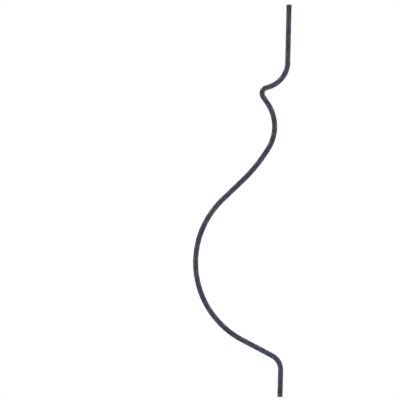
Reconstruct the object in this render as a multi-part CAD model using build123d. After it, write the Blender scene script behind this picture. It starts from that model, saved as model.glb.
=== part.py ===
"""Belly baluster for a stair, bent from one square bar with hammered edges.

The bar stands plumb in the XZ plane with its belly towards -X. The origin is the
middle of the lower end face, and the upper end is straight above it on the Z axis.
"""
from build123d import *
from math import copysign, cos, radians, sin, sqrt
import os

# Driving dimensions, in millimetres
bar_size = 12.0
overall_height = 900.0
belly_reach = 200.5
foot_shank = 62.0
throat_run = 19.0
neck_run = 8.0

# Bend radii on the middle line of the bar
foot_radius = 36.0
belly_radius = 200.0
back_radius = 370.0
shoulder_radius = 95.0
nose_radius = 13.5
neck_radius = 60.0

# Lean of the bar from plumb, in degrees, positive towards the belly
plumb = 0.0
lower_lean = 63.5
upper_lean = -45.0
throat_lean = 35.0
neck_lean = -71.0

# The back starts to turn gently before it goes over into the shoulder
back_turn = 15.0
back_lean = upper_lean + back_turn

# Hammered edges: each blow leaves a hollow with a round bottom, and a short land before the next
hammer_pitch = 30.0
hammer_depth = 2.14
hammer_land = 1.5
hammer_radius = 3.5


def bend_shift(radius, lean_in, lean_out):
    """How far a bend carries the bar along X and Z."""
    turn = copysign(radius, lean_out - lean_in)
    along_x = turn * (cos(radians(lean_out)) - cos(radians(lean_in)))
    along_z = turn * (sin(radians(lean_out)) - sin(radians(lean_in)))
    return Vector(along_x, along_z)


def run_shift(length, lean):
    """How far a straight run carries the bar along X and Z."""
    return Vector(-sin(radians(lean)), cos(radians(lean))) * length


# The run into the belly is as long as the reach needs
into_belly = bend_shift(foot_radius, plumb, lower_lean) + bend_shift(belly_radius, lower_lean, plumb)
lower_run = -(belly_reach + into_belly.X) / run_shift(1, lower_lean).X

# The run out of the belly is as long as it takes to bring the upper shank over the lower one
out_of_belly = bend_shift(belly_radius, plumb, upper_lean)
head = (
    bend_shift(back_radius, upper_lean, back_lean)
    + bend_shift(shoulder_radius, back_lean, throat_lean)
    + run_shift(throat_run, throat_lean)
    + bend_shift(nose_radius, throat_lean, neck_lean)
    + run_shift(neck_run, neck_lean)
    + bend_shift(neck_radius, neck_lean, plumb)
)
upper_run = (belly_reach - out_of_belly.X - head.X) / run_shift(1, upper_lean).X

# The upper shank takes up what is left of the height
belly = into_belly + run_shift(lower_run, lower_lean) + out_of_belly + run_shift(upper_run, upper_lean)
upper_shank = overall_height - foot_shank - belly.Y - head.Y


def bend_line(overrun):
    """Middle line of the bar from the foot up, with both ends run on by the overrun."""
    steps = [
        (foot_shank + overrun, foot_radius, lower_lean),
        (lower_run, belly_radius, upper_lean),
        (upper_run, back_radius, back_lean),
        (0, shoulder_radius, throat_lean),
        (throat_run, nose_radius, neck_lean),
        (neck_run, neck_radius, plumb),
    ]
    edges = []
    end = Vector(0, -overrun)
    lean = plumb
    for run, radius, next_lean in steps:
        if run:
            edges.append(Line(end, end + run_shift(run, lean)))
            end = edges[-1] @ 1
        edges.append(JernArc(end, run_shift(1, lean), radius, next_lean - lean))
        end = edges[-1] @ 1
        lean = next_lean
    edges.append(Line(end, end + run_shift(upper_shank + overrun, plumb)))
    return Plane.XZ * Wire(edges)


bar_line = bend_line(0)
bar = sweep(Plane.XY * Rectangle(bar_size, bar_size), path=bar_line)

# A whole number of blows is spread over the length of the bar
pitch = bar_line.length / round(bar_line.length / hammer_pitch)
hammer_line = bend_line(pitch)
hollow_half = (pitch - hammer_land) / 2


def cutter_section(distance, side, front, depth):
    """Round section of the cutter with its back cut flat, sunk to the depth on the diagonal of one edge."""
    middle = hammer_line.position_at(pitch + distance, position_mode=PositionMode.LENGTH)
    along = hammer_line.tangent_at(pitch + distance, position_mode=PositionMode.LENGTH)
    outward = Vector(0, 1, 0).cross(along) * side + Vector(0, front, 0)
    offset = bar_size / 2 + (hammer_radius - depth) / sqrt(2)
    half_flat = 60
    round_side = CenterArc((0, 0), hammer_radius, half_flat, 360 - 2 * half_flat)
    flat_side = Line(round_side @ 1, round_side @ 0)
    return Plane(middle + outward * offset, x_dir=outward, z_dir=along) * make_face([round_side, flat_side])


def blow(distance, side, front):
    """Cutter one pitch long for the hollow in one edge, whose depth falls off as a parabola."""
    sections = []
    for share in (-0.5, -0.25, 0, 0.25, 0.5):
        step = share * pitch
        depth = hammer_depth * (1 - (step / hollow_half) ** 2)
        sections.append(cutter_section(distance + step, side, front, depth))
    return loft(sections)


# A stroke falls every half pitch, on two opposite edges and then on the other two.
# Cutters that would meet end to end are used in separate passes.
strokes = 2 * round(bar_line.length / pitch) + 2
for cutting_pass in (0, 1):
    cutters = []
    for stroke in range(strokes):
        if stroke // 2 % 2 == cutting_pass:
            distance = (stroke - 0.5) * pitch / 2
            diagonal = 1 if stroke % 2 else -1
            cutters += [blow(distance, 1, diagonal), blow(distance, -1, -diagonal)]
    bar -= cutters

os.makedirs("parts", exist_ok=True)
export_step(bar, "parts/baluster_bar.step")
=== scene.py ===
from math import radians

import bpy
import numpy as np
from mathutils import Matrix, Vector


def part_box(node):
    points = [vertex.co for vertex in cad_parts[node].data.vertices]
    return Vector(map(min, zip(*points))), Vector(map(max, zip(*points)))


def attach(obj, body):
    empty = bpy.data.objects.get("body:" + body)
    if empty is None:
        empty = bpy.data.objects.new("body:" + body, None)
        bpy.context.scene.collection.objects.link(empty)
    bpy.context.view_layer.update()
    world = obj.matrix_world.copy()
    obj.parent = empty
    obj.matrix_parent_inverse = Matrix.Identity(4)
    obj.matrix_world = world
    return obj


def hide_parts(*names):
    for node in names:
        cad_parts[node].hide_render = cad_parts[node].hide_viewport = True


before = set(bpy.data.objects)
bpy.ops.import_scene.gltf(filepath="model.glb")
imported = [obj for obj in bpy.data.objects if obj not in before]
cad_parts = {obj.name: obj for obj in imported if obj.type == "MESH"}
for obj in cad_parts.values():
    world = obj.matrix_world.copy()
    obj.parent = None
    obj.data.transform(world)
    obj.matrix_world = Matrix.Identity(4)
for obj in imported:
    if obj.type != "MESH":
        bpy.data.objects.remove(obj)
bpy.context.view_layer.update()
print("frame loaded:", sorted(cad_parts))

# Middle line of the bar from the foot up: lengths in metres, leans in degrees towards the belly
bends = dict(
    footShank=0.062,
    footRadius=0.036,
    lowerLean=63.5,
    bellyRadius=0.2,
    upperLean=-45.0,
    backRadius=0.37,
    backTurn=15.0,
    shoulderRadius=0.095,
    throatLean=35.0,
    throatRun=0.019,
    noseRadius=0.0135,
    neckLean=-71.0,
    neckRun=0.008,
    neckRadius=0.06,
)


# A bend is as long as its radius times its turn
def bendLeg(radius, leanIn, leanOut):
    return radius * abs(leanOut - leanIn), leanIn, leanOut


# A leg's chord is its length times sin(half turn) over half turn, laid at its mean lean
def legShift(length, leanIn, leanOut):
    chord = length * np.sinc((leanOut - leanIn) / (2 * np.pi))
    mean = (leanIn + leanOut) / 2
    return np.stack([-np.sin(mean) * chord, np.cos(mean) * chord], axis=-1)


# Runs and bends as rows of length, lean in and lean out. The two sloping runs are as long as it takes
# to reach the belly and to come back over the foot, and the upper shank takes up the rest of the height
def barLegs(reach, height):
    leanNames = ("lowerLean", "upperLean", "throatLean", "neckLean")
    lower, upper, throat, neck = np.radians([bends[name] for name in leanNames])
    back = upper + radians(bends["backTurn"])
    foot = bendLeg(bends["footRadius"], 0, lower)
    bellyIn = bendLeg(bends["bellyRadius"], lower, 0)
    bellyOut = bendLeg(bends["bellyRadius"], 0, upper)
    head = [
        bendLeg(bends["backRadius"], upper, back),
        bendLeg(bends["shoulderRadius"], back, throat),
        (bends["throatRun"], throat, throat),
        bendLeg(bends["noseRadius"], throat, neck),
        (bends["neckRun"], neck, neck),
        bendLeg(bends["neckRadius"], neck, 0),
    ]
    headShift = sum(legShift(*leg) for leg in head)
    lowerRun = (reach + legShift(*foot)[0] + legShift(*bellyIn)[0]) / np.sin(lower)
    upperRun = (legShift(*bellyOut)[0] + headShift[0] - reach) / np.sin(upper)
    legs = [
        (bends["footShank"], 0, 0),
        foot,
        (lowerRun, lower, lower),
        bellyIn,
        bellyOut,
        (upperRun, upper, upper),
        *head,
    ]
    upperShank = height - sum(legShift(*leg)[1] for leg in legs)
    return np.array([*legs, (upperShank, 0, 0)])


# Place and lean at each distance: the start of its leg plus the chord of the part leg
def lineAt(legs, distance):
    length, leanIn, leanOut = legs.T
    starts = np.concatenate([[0], np.cumsum(length)])
    joints = np.vstack([[0, 0], np.cumsum(legShift(length, leanIn, leanOut), axis=0)])
    leg = np.clip(np.searchsorted(starts, distance, side="right") - 1, 0, len(length) - 1)
    part = distance - starts[leg]
    lean = leanIn[leg] + (leanOut - leanIn)[leg] * part / length[leg]
    return joints[leg] + legShift(part, leanIn[leg], lean), lean


# Hammered section of the bar, in metres, and the steps along a blow and round each part of a quarter.
# The phases say how far along a pitch the blows fall, edge after edge round the bar
hammer = dict(
    pitch=0.03,
    phases=(0.25, -0.25, 0.25, -0.25),
    depth=0.00214,
    land=0.0015,
    landDepth=0.00025,
    radius=0.0035,
    arris=0.0004,
    arrisFade=0.0006,
    rowsPerBlow=30,
    arrisSteps=4,
    hollowSteps=8,
    faceSteps=6,
)


# Depth of the hollow in an edge: a parabola in the distance from the nearest blow, and never less than
# is left at a land, where a hollow any shallower would have its two softened arrises meet
def hollowDepth(distance, phase, pitch):
    step = ((distance / pitch - phase + 0.5) % 1 - 0.5) * pitch
    runOut = (pitch - hammer["land"]) / 2
    depth = hammer["depth"] * (1 - (step / runOut) ** 2)
    return np.maximum(depth, hammer["landDepth"])


# Where a softened arris touches, as a circle against the flat face inside and the hollow's circle outside:
# the hollow's middle, the turn of the arris, and how far along the face the arris begins
def arrisTouch(depth, half):
    radius, arris = hammer["radius"], hammer["arris"]
    middle = half + (radius - depth) / np.sqrt(2)
    turn = np.arccos((middle - half + arris) / (radius + arris))
    return middle, turn, middle - (radius + arris) * np.sin(turn)


# One quarter of the section for each row, as two coordinates, with the closeness to an arris and the
# share of a hollow: a small round arris, the round hollow, the second arris, then the flat face
def quarterSection(depth, nextDepth, half):
    radius, arris = hammer["radius"], hammer["arris"]
    middle, turn, start = arrisTouch(depth[:, None], half)
    nextStart = arrisTouch(nextDepth[:, None], half)[2]
    bent = np.linspace(0, 1, hammer["arrisSteps"] + 1)
    sunk = np.linspace(0, 1, hammer["hollowSteps"] + 1)[1:-1]
    flat = (1 - np.cos(np.pi * np.linspace(0, 1, hammer["faceSteps"] + 1)[1:-1])) / 2
    opening = np.pi / 2 - 2 * turn
    sweep = turn + opening * sunk
    arrisOut = half - arris + arris * np.cos(turn * bent)
    arrisUp = start + arris * np.sin(turn * bent)
    faceOut = start + (-nextStart - start) * flat
    out = np.hstack([arrisOut, middle - radius * np.cos(sweep), arrisUp[:, ::-1], faceOut])
    up = np.hstack([arrisUp, middle - radius * np.sin(sweep), arrisOut[:, ::-1], half + 0 * faceOut])
    onArris = np.zeros_like(arrisOut)
    hollowFar = np.minimum(sunk, 1 - sunk) * radius * opening
    faceFar = np.minimum(flat, 1 - flat) * (start + nextStart)
    near = np.exp(-(np.hstack([onArris, hollowFar, onArris, faceFar]) / hammer["arrisFade"]) ** 2)
    inHollow = depth[:, None] / hammer["depth"] + np.zeros_like(hollowFar)
    share = np.hstack([onArris, inHollow, onArris, np.zeros_like(faceFar)])
    return out, up, near, share


# Faint unevenness left by the forging: lengths of its waves along the bar and turns round it
unevenness = dict(
    depth=0.00015,
    alongWaves=(0.0231, 0.0373, 0.0617, 0.0117),
    aroundTurns=(1, 2, 3, 1),
    starts=(0.4, 2.1, 4.4, 5.3),
)


# A share of the depth from 0 to 1: the mean of the waves, lifted to be positive
def unevenShare(distance, around):
    total = 0
    waves = zip(unevenness["alongWaves"], unevenness["aroundTurns"], unevenness["starts"])
    for length, turns, start in waves:
        total = total + np.sin(2 * np.pi * distance / length + turns * around + start)
    return 0.5 + 0.5 * total / len(unevenness["starts"])


# Sawn ends of the bar: a small chamfer, then rings that shrink to a middle point
ends = dict(chamfer=0.0004, rings=(0.985, 0.6, 0.3))

low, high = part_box("baluster_bar")
half = (high.y - low.y) / 2
legs = barLegs(-low.x - half, high.z - low.z)
barLength = legs[:, 0].sum()
blows = round(barLength / hammer["pitch"])
pitch = barLength / blows
print(f"middle line: {barLength * 1000:.1f} mm, {blows} blows on each edge, {pitch * 1000:.2f} mm apart")


# The bar is a grid of sections set square to the middle line. Each quarter of a section is the first one
# turned by a right angle, and edges that face each other across the bar have their blows side by side
def barSurface():
    rim = 1 - ends["chamfer"] / half
    rings = rim * np.array(ends["rings"])
    rows = blows * hammer["rowsPerBlow"] + 1
    inner = np.linspace(ends["chamfer"], barLength - ends["chamfer"], rows)
    cap = np.zeros(len(rings) + 1)
    distance = np.concatenate([cap, inner, cap + barLength])
    shrink = np.concatenate([rings[::-1], [rim], np.ones(rows), [rim], rings])
    place, lean = lineAt(legs, distance)
    depths = [hollowDepth(distance, phase, pitch) for phase in hammer["phases"]]
    quarters = []
    for quarter, depth in enumerate(depths):
        nextDepth = depths[(quarter + 1) % len(depths)]
        out, up, near, share = quarterSection(depth, nextDepth, half)
        side, front = [(out, up), (-up, out), (-out, -up), (up, -out)][quarter]
        quarters.append((side, front, near, share))
    side, front, near, share = [np.hstack(part) for part in zip(*quarters)]
    around = np.arctan2(front, side)
    uneven = 1 - unevenness["depth"] / half * unevenShare(distance[:, None], around)
    side = side * shrink[:, None] * uneven
    front = front * shrink[:, None] * uneven
    x = place[:, :1] + side * np.cos(lean)[:, None]
    z = place[:, 1:] + side * np.sin(lean)[:, None]
    sawn = np.repeat((shrink < 1)[:, None], x.shape[1], axis=1)
    return np.stack([x, front, z], axis=-1), near, share, sawn


# Corners of every face on the unrolled bar, as metres round it and along it. The line along the bar
# runs from the lower middle point out to the rim, up the bar and in to the upper middle point
def unrolledCorners(points, middles):
    rows, columns = points.shape[:2]
    lowerReach = np.linalg.norm(points[0] - middles[0], axis=1).mean()
    upperReach = np.linalg.norm(points[-1] - middles[1], axis=1).mean()
    rowSteps = np.linalg.norm(np.diff(points, axis=0), axis=2).mean(axis=1)
    sides = np.linalg.norm(np.roll(points, -1, axis=1) - points, axis=2).mean(axis=0)
    along = np.cumsum([lowerReach, *rowSteps])
    around = np.cumsum([0, *sides])
    left = np.broadcast_to(around[:-1], (rows - 1, columns))
    right = np.broadcast_to(around[1:], (rows - 1, columns))
    below = np.broadcast_to(along[:-1, None], (rows - 1, columns))
    above = np.broadcast_to(along[1:, None], (rows - 1, columns))
    quads = np.stack([left, below, right, below, right, above, left, above], axis=-1)
    left, right = around[:-1], around[1:]
    first, last = np.full(columns, along[0]), np.full(columns, along[-1])
    lowerFan = np.stack([right, first, left, first, (left + right) / 2, 0 * first], axis=-1)
    upperFan = np.stack([left, last, right, last, (left + right) / 2, last + upperReach], axis=-1)
    fans = np.concatenate([lowerFan, upperFan])
    return quads.reshape(-1, 4, 2), fans.reshape(-1, 3, 2), (around[-1], along[-1] + upperReach)


# Map for streaks that follow the bar, in metres, and map for baked textures, where the unrolled bar is
# cut into strips that lie side by side and fill a square
unrolledMap = dict(name="around_and_along")
bakedMap = dict(name="OFBake", strips=5, margin=0.015)


# A face's strip is the whole part of its share of the length times the strips. The rest of that share is
# the place up the strip, and the share of the girth is the place across it, both drawn in by the margin
def stripPlaces(corners, girth, length):
    strips, margin = bakedMap["strips"], bakedMap["margin"]
    up = corners[..., 1] / length * strips
    strip = np.floor(up.mean(axis=1, keepdims=True))
    across = margin + (1 - 2 * margin) * corners[..., 0] / girth
    return np.stack([(strip + across) / strips, margin + (1 - 2 * margin) * (up - strip)], axis=-1)


# Quads between neighbouring rows, closed round the bar, and a fan of triangles to a point at each end
def barMesh(name):
    points, near, share, sawn = barSurface()
    rows, columns = points.shape[:2]
    count = rows * columns
    middles = np.array([[0, 0, 0], [0, 0, high.z - low.z]])
    vertices = np.vstack([points.reshape(-1, 3), middles])
    number = np.arange(count).reshape(rows, columns)
    nextNumber = np.roll(number, -1, axis=1)
    quads = np.stack([number[:-1], nextNumber[:-1], nextNumber[1:], number[1:]], axis=-1).reshape(-1, 4)
    lowerFan = np.stack([nextNumber[0], number[0], np.full(columns, count)], axis=-1)
    upperFan = np.stack([number[-1], nextNumber[-1], np.full(columns, count + 1)], axis=-1)
    mesh = bpy.data.meshes.new(name)
    mesh.from_pydata(vertices.tolist(), [], quads.tolist() + lowerFan.tolist() + upperFan.tolist())
    mesh.shade_smooth()
    # The share of a hollow is kept as the mask for dark scale and painted shade in the hollows, and the
    # closeness to an arris as the mask for wear and a painted highlight along the arrises
    for label, values, atMiddles in (("arris", near, 0), ("hollow", share, 0), ("sawn", sawn, 1)):
        layer = mesh.attributes.new(label, "FLOAT", "POINT")
        allValues = np.append(values.ravel(), [atMiddles] * len(middles))
        layer.data.foreach_set("value", allValues.astype(np.float32))
    quadCorners, fanCorners, size = unrolledCorners(points, middles)
    stripped = [stripPlaces(corners, *size).ravel() for corners in (quadCorners, fanCorners)]
    unrolled = [quadCorners.ravel(), fanCorners.ravel()]
    for kind, places in ((bakedMap, stripped), (unrolledMap, unrolled)):
        layer = mesh.uv_layers.new(name=kind["name"])
        layer.uv.foreach_set("vector", np.concatenate(places).astype(np.float32))
    mesh.update()
    return mesh


bar = bpy.data.objects.new("hammered_bar", barMesh("hammered_bar"))
bpy.context.scene.collection.objects.link(bar)
print(f"hammered bar: {len(bar.data.vertices)} points, {len(bar.data.polygons)} faces")


# Shader maths: a socket whose + - * with other sockets or numbers add Math nodes
class Sock:
    def __init__(self, tree, socket=None):
        self.tree = tree
        self.socket = socket

    # Any node: its type, its settings, then the values or links of its sockets
    def node(self, kind, settings=None, sockets=None, out=0):
        made = self.tree.nodes.new(kind)
        for name, value in (settings or {}).items():
            setattr(made, name, value)
        self.feed(made, sockets or {})
        return Sock(self.tree, made.outputs[out])

    # A socket given a Sock is linked to it, and one given a number, colour or vector keeps that
    def feed(self, made, sockets):
        for name, value in sockets.items():
            if isinstance(value, Sock):
                self.tree.links.new(value.socket, made.inputs[name])
            else:
                made.inputs[name].default_value = value

    # One Math node on two values
    def math(self, operation, left, right):
        return self.node("ShaderNodeMath", {"operation": operation}, {0: left, 1: right})

    def __add__(self, other):
        return self.math("ADD", self, other)

    __radd__ = __add__

    def __sub__(self, other):
        return self.math("SUBTRACT", self, other)

    def __rsub__(self, other):
        return self.math("SUBTRACT", other, self)

    def __mul__(self, other):
        return self.math("MULTIPLY", self, other)

    __rmul__ = __mul__

    # The part of a value between two limits, spread from 0 to 1 with soft ends
    def spread(self, lowest, highest):
        sockets = {"Value": self, "From Min": lowest, "From Max": highest}
        return self.node("ShaderNodeMapRange", {"interpolation_type": "SMOOTHSTEP"}, sockets)

    # This value as the share of the second colour in a mix of two. The Mix node takes colours at its
    # sockets 6 and 7, and gives one at its output 2
    def mix(self, first, second):
        return self.node("ShaderNodeMix", {"data_type": "RGBA"}, {0: self, 6: first, 7: second}, out=2)


# Blackened iron. Colours are linear, and shares say how much of a colour is laid over those before it.
# A noise is its size in metres, its detail and its roughness, and limits pick out part of a noise
ironLook = dict(
    ground=(0.03, 0.0317, 0.0443, 1),
    cloud=(0.0405, 0.0428, 0.0585, 1),
    # Dark scale colour for the flecks, and for the hollows, where it is also painted shade
    hollow=(0.019, 0.0205, 0.029, 1),
    # Pale colour along the arrises: wear, and a painted highlight on the edges
    wearAndSheen=(0.17, 0.175, 0.195, 1),
    sawn=(0.075, 0.077, 0.09, 1),
    gloss=(0.72, 0.76, 1.0, 1),
    grainShare=0.4,
    hollowShare=0.5,
    fleckShare=0.35,
    wearAndSheenShare=0.7,
    sawnShare=0.8,
    cloudNoise=(0.012, 6, 0.62),
    fleckNoise=(0.0028, 4, 0.6),
    grainNoise=(0.0008, 4, 0.7),
    streakNoise=(1.0, 3, 0.55),
    streakSize=(0.0005, 0.016, 1.0),
    cloudLimits=(0.36, 0.66),
    wearAndSheenLimits=(0.38, 0.6),
    fleckLimits=(0.54, 0.64),
    streakLimits=(0.3, 0.7),
    sawPitch=0.0011,
    sawWander=1.2,
    metal=0.55,
    rubbedMetal=0.35,
    specular=0.16,
    roughness=dict(mean=0.38, grain=0.4, clouds=0.1, flecks=0.2, streaks=-0.1),
    relief=dict(depth=0.0004, grain=0.7, clouds=0.3, flecks=-0.5, streaks=0.07, saw=0.22),
)


# Cloudy scale over a blue-grey ground, darker in the hollows with dark scale and painted shade, paler along
# the arrises with wear and a painted highlight, with flecks, drawn-out streaks and a fine grain in its
# roughness and bump, and saw lines on the ends
def blackenedIron():
    look = ironLook
    material = bpy.data.materials.new("blackened_iron")
    material.use_nodes = True
    tree = material.node_tree
    start = Sock(tree)
    place = start.node("ShaderNodeTexCoord", out="Object")
    unrolled = start.node("ShaderNodeUVMap", {"uv_map": unrolledMap["name"]})
    stretch = {0: unrolled, 1: look["streakSize"]}
    drawnOut = start.node("ShaderNodeVectorMath", {"operation": "DIVIDE"}, stretch)

    # A share kept on the mesh
    def painted(name):
        return start.node("ShaderNodeAttribute", {"attribute_name": name}, out="Fac")

    # Noise with as many cells to a metre as one over its size
    def noise(vector, size, detail, roughness):
        sockets = {"Vector": vector, "Scale": 1 / size, "Detail": detail, "Roughness": roughness}
        return start.node("ShaderNodeTexNoise", None, sockets)

    # Patterns from 0 to 1
    arris, hollow, sawn = painted("arris"), painted("hollow"), painted("sawn")
    scale = noise(place, *look["cloudNoise"])
    clouds = scale.spread(*look["cloudLimits"])
    flecks = noise(place, *look["fleckNoise"]).spread(*look["fleckLimits"])
    grain = noise(place, *look["grainNoise"])
    streaks = noise(drawnOut, *look["streakNoise"]).spread(*look["streakLimits"]) * (1 - sawn)
    # Mask for the pale arrises, for wear and a painted highlight, in patches and not on the sawn ends
    wearAndSheen = arris * scale.spread(*look["wearAndSheenLimits"]) * (1 - sawn)
    waveRadians = 20  # turn of the Wave node's bands over one metre at a scale of 1
    bandScale = 2 * np.pi / waveRadians / look["sawPitch"]
    bands = {"Vector": place, "Scale": bandScale, "Distortion": look["sawWander"]}
    saw = start.node("ShaderNodeTexWave", None, bands, out="Fac") * sawn

    paleness = clouds + look["grainShare"] * (grain - clouds)
    colour = paleness.mix(look["ground"], look["cloud"])
    # Painted shade: the hollows are darkened by their depth, partly for dark forge scale and partly for the
    # shade that falls in them
    colour = (hollow * look["hollowShare"]).mix(colour, look["hollow"])
    colour = (flecks * look["fleckShare"]).mix(colour, look["hollow"])
    # Painted highlight: the arrises are made paler, partly for wear and partly for light caught on the edges
    colour = (wearAndSheen * look["wearAndSheenShare"]).mix(colour, look["wearAndSheen"])
    colour = (sawn * look["sawnShare"]).mix(colour, look["sawn"])

    rough = look["roughness"]
    midway = 0.5  # middle of a pattern, at which the roughness is the mean
    roughness = (
        rough["mean"]
        + rough["grain"] * (grain - midway)
        + rough["clouds"] * (clouds - midway)
        + rough["flecks"] * flecks
        + rough["streaks"] * streaks
    )
    relief = look["relief"]
    height = (
        relief["grain"] * grain
        + relief["clouds"] * clouds
        + relief["flecks"] * flecks
        + relief["streaks"] * streaks
        + relief["saw"] * saw
    )
    bump = start.node("ShaderNodeBump", None, {"Strength": 1, "Distance": relief["depth"], "Height": height})
    sockets = {
        "Base Color": colour,
        "Roughness": roughness,
        "Metallic": look["metal"] + wearAndSheen * look["rubbedMetal"],
        "Normal": bump,
        "Specular IOR Level": look["specular"],
        "Specular Tint": look["gloss"],
    }
    start.feed(tree.nodes["Principled BSDF"], sockets)
    return material


bar.data.materials.append(blackenedIron())
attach(bar, "root")
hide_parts("baluster_bar")
print("bar finished in blackened iron")

# Floor and light: each far soft lamp has its bearing from the front and its height in degrees, and its
# strength on a surface that faces it. They light the whole floor evenly
studio = dict(
    floorSize=40.0,
    floorColour=(0.93, 0.93, 0.93, 1),
    floorRoughness=0.9,
    floorGlow=0.55,
    white=(1, 1, 1, 1),
    ambient=0.25,
    softness=24.0,
    lamps=dict(
        front=(-12.0, 24.0, 1.5),
        back=(168.0, 24.0, 1.5),
        left=(-104.0, 30.0, 0.7),
        right=(76.0, 30.0, 0.7),
        top=(-30.0, 75.0, 0.4),
    ),
)


# 1 for a ray that shows the background, straight or in a reflection, and 0 for a ray that brings light
def shownRay(start):
    kinds = ("Is Camera Ray", "Is Glossy Ray", "Is Transmission Ray")
    straight, glossy, through = [start.node("ShaderNodeLightPath", out=kind) for kind in kinds]
    return start.math("MINIMUM", straight + glossy + through, 1)


# The world is a soft even light, and plain white where it shows
def studioWorld():
    world = bpy.data.worlds.new("studio")
    world.use_nodes = True
    tree = world.node_tree
    start = Sock(tree)
    strength = studio["ambient"] + (1 - studio["ambient"]) * shownRay(start)
    start.feed(tree.nodes["Background"], {"Color": studio["white"], "Strength": strength})
    bpy.context.scene.world = world


# A far lamp with a wide disc, turned down by its height and round by its bearing
def softLamp(name, bearing, height, strength):
    lamp = bpy.data.lights.new(name, "SUN")
    lamp.energy = strength
    lamp.angle = radians(studio["softness"])
    holder = bpy.data.objects.new(name, lamp)
    holder.rotation_euler = (radians(90 - height), 0, radians(bearing))
    bpy.context.scene.collection.objects.link(holder)


# A pale floor that keeps its shadows, lifted towards white where it shows
def studioFloor():
    corners = np.array([[-1, -1, 0], [1, -1, 0], [1, 1, 0], [-1, 1, 0]]) * studio["floorSize"] / 2
    mesh = bpy.data.meshes.new("floor")
    mesh.from_pydata(corners.tolist(), [], [[0, 1, 2, 3]])
    material = bpy.data.materials.new("floor")
    material.use_nodes = True
    tree = material.node_tree
    start = Sock(tree)
    shader = tree.nodes["Principled BSDF"]
    start.feed(shader, {"Base Color": studio["floorColour"], "Roughness": studio["floorRoughness"]})
    pale = Sock(tree, shader.outputs[0])
    glow = start.node("ShaderNodeEmission", None, {"Color": studio["white"], "Strength": 1})
    share = shownRay(start) * studio["floorGlow"]
    lifted = start.node("ShaderNodeMixShader", None, {0: share, 1: pale, 2: glow})
    start.feed(tree.nodes["Material Output"], {"Surface": lifted})
    mesh.materials.append(material)
    floor = bpy.data.objects.new("floor", mesh)
    bpy.context.scene.collection.objects.link(floor)


studioWorld()
for name, (bearing, height, strength) in studio["lamps"].items():
    softLamp(name + "_lamp", bearing, height, strength)
studioFloor()
print("studio lit with", len(studio["lamps"]), "lamps")

# Middle of the picture in X and Z, how far off the camera stands and how wide it sees, in metres, and
# how far the picture is turned, in degrees
camera = dict(middle=(-0.1937, 0.4472), distance=3.0, width=0.9168, roll=1.327)


# Square on to the bends, with no vanishing point: the middle less the distance along Y, turned level and
# then round the line of sight by the roll
def photoCamera():
    lens = bpy.data.cameras.new("camera")
    lens.type = "ORTHO"
    lens.ortho_scale = camera["width"]
    holder = bpy.data.objects.new("camera", lens)
    holder.location = (camera["middle"][0], -camera["distance"], camera["middle"][1])
    holder.rotation_euler = (radians(90), radians(-camera["roll"]), 0)
    bpy.context.scene.collection.objects.link(holder)
    bpy.context.scene.camera = holder


photoCamera()
bpy.context.scene.view_settings.view_transform = "Standard"
print("camera set")
